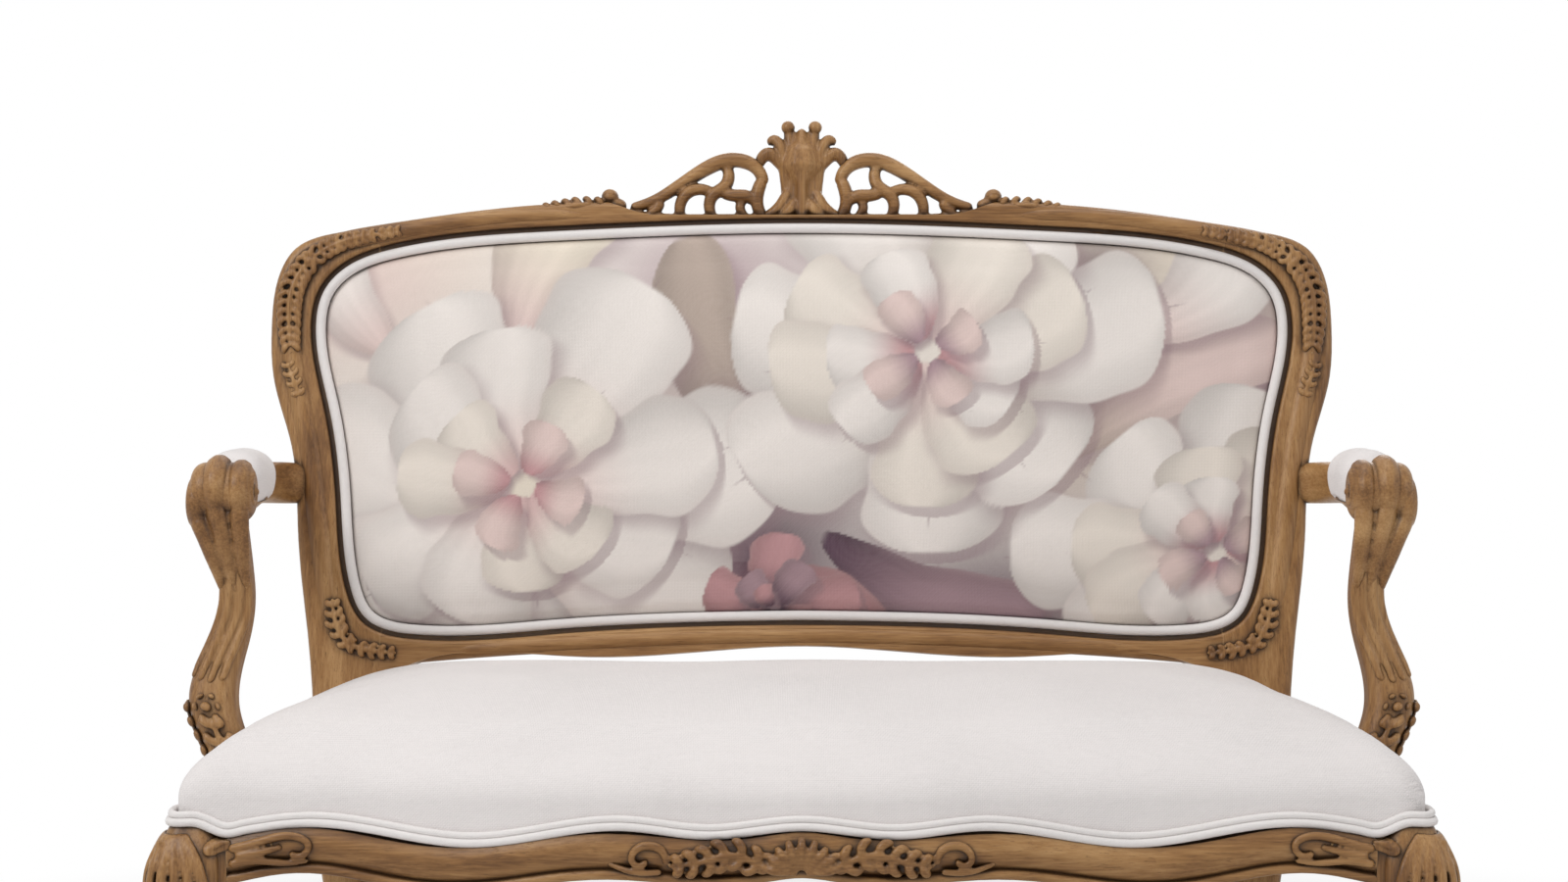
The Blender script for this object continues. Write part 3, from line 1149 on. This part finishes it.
# Share of the height from shelf to arm, shift in x and y, width
post_rows = np.array([
    (-0.03, -31, 173, 36), (0.137, -28, 173, 38), (0.248, -18, 175, 42), (0.346, -7, 180, 46),
    (0.425, -11, 186, 44), (0.516, -20, 191, 38), (0.611, -28, 193, 33), (0.712, -30, 189, 31),
    (0.824, -26, 180, 36), (0.974, -20, 172, 40)])
post_line = fair_line(post_rows * np.array([1, 0.001, 0.001, 0.001]), 200)
POST_HEIGHT = 0.306


def on_arm_post(u, v, w):
    """Round the right arm post: u from its outward front corner, v above the floor."""
    share = (v - SHELF) / POST_HEIGHT
    x, y, wide = (np.interp(share, post_line[:, 0], post_line[:, k]) for k in (1, 2, 3))
    return round_wood("arm_post_right", FRONT_HALF + x, FRONT_Y + y, v, u / (0.55 * wide) - math.pi / 4, w)


post = [stroke([(-18 + reach * math.cos(a), 455 + reach * math.sin(a)) for reach in (8.5, 13.5)],
               [1.4, 0.4], [4.6, 5.6]) for a in np.arange(6) * math.pi / 3]
post += [ball(-18, 455, 2.2, 5)]
for u in (-29, -18, -7, 4, 15, 26):
    post.append(stroke([(0.8 * u - 4, 600), (0.85 * u - 3, 560), (0.95 * u, 515),
                        (1.05 * u, 475 + 0.2 * abs(u + 18))],
                       [-3.4, -1.6, -1.2, -1.8], [3.6, 4.4, 5, 4.4]))
post += leaf([(-18, 400), (-18, 420), (-18, 440)], [12, 13, 9], 4, 2.4)
post += leaf([(12, 390), (14, 420), (13, 456)], [11, 12, 9], 3.8, 2.6)
carved_pair("post_leaf", post, on_arm_post, wood_z)

# Studio
bpy.ops.object.select_all(action="DESELECT")
bpy.ops.mesh.primitive_circle_add(vertices=96, radius=9, fill_type="NGON")
floor = bpy.context.object
floor.name = "floor"
ground = Finish("pale_floor")
where = ground.parts(ground.place())
reach = (where[0] * where[0] + where[1] * where[1]) ** 0.5
ground.set(Base_Color=(0.86, 0.86, 0.86), Roughness=0.9)
SEEN_BY = ("Is Camera Ray", "Is Glossy Ray", "Is Transmission Ray")
light_path = ground.tree.nodes.new("ShaderNodeLightPath")
straight, mirror, through = (Field(ground, light_path.outputs[kind]) for kind in SEEN_BY)
seen = straight + mirror + through
glow = ground.tree.nodes.new("ShaderNodeEmission")
glow.inputs["Color"].default_value = (1, 1, 1, 1)
blend = ground.tree.nodes.new("ShaderNodeMixShader")
ground.plug(blend.inputs[0], reach.between(1.05, 1.9) * seen)
ground.tree.links.new(ground.shader.outputs[0], blend.inputs[1])
ground.tree.links.new(glow.outputs[0], blend.inputs[2])
ground.tree.links.new(blend.outputs[0], ground.tree.nodes["Material Output"].inputs["Surface"])
floor.data.materials.append(ground.material)

world = bpy.data.worlds.new("studio")
bpy.context.scene.world = world
world.use_nodes = True
sky = world.node_tree
soft = sky.nodes["Background"]
soft.inputs["Color"].default_value = (1, 1, 1, 1)
soft.inputs["Strength"].default_value = 0.40
white = sky.nodes.new("ShaderNodeBackground")
white.inputs["Strength"].default_value = 1.0
white.inputs["Color"].default_value = (1, 1, 1, 1)
rays = sky.nodes.new("ShaderNodeLightPath")
choose = sky.nodes.new("ShaderNodeMixShader")
shown = rays.outputs[SEEN_BY[0]]
for kind in SEEN_BY[1:]:
    either = sky.nodes.new("ShaderNodeMath")
    either.operation = "ADD"
    sky.links.new(shown, either.inputs[0])
    sky.links.new(rays.outputs[kind], either.inputs[1])
    shown = either.outputs[0]
sky.links.new(shown, choose.inputs[0])
sky.links.new(soft.outputs[0], choose.inputs[1])
sky.links.new(white.outputs[0], choose.inputs[2])
sky.links.new(choose.outputs[0], sky.nodes["World Output"].inputs["Surface"])


def lamp(name, place, aim, size, power):
    """A soft panel of light that faces a point."""
    bpy.ops.object.light_add(type="AREA", location=place)
    light = bpy.context.object
    light.name = name
    light.data.shape = "RECTANGLE"
    light.data.size, light.data.size_y = size
    light.data.energy = power
    light.rotation_euler = (Vector(aim) - light.location).to_track_quat("-Z", "Y").to_euler()


for name, place, size, power in (
    ("key", (-2.3, -2.4, 2.9), (1.8, 1.4), 64),
    ("fill", (2.6, -2.0, 1.9), (1.8, 1.6), 14),
    ("top", (0.0, -0.3, 3.2), (2.4, 1.6), 24),
    ("rim", (0.6, 2.6, 2.2), (2.4, 1.2), 22),
):
    lamp(name, place, (0, 0, 0.6), size, power)

# Camera as the photograph was taken: level, in front, with the frame set a little low
bpy.ops.object.camera_add(location=(0, -2.70, 0.761))
camera = bpy.context.object
camera.rotation_euler = (math.pi / 2, 0, 0)
PICTURE_WIDE, FOCAL, SENSOR = 1600, 2681, 36
camera.data.sensor_width = SENSOR
camera.data.lens = SENSOR * FOCAL / PICTURE_WIDE
camera.data.shift_x = -18 / PICTURE_WIDE
camera.data.shift_y = -50 / PICTURE_WIDE
bpy.context.scene.camera = camera
bpy.context.scene.view_settings.view_transform = "Standard"
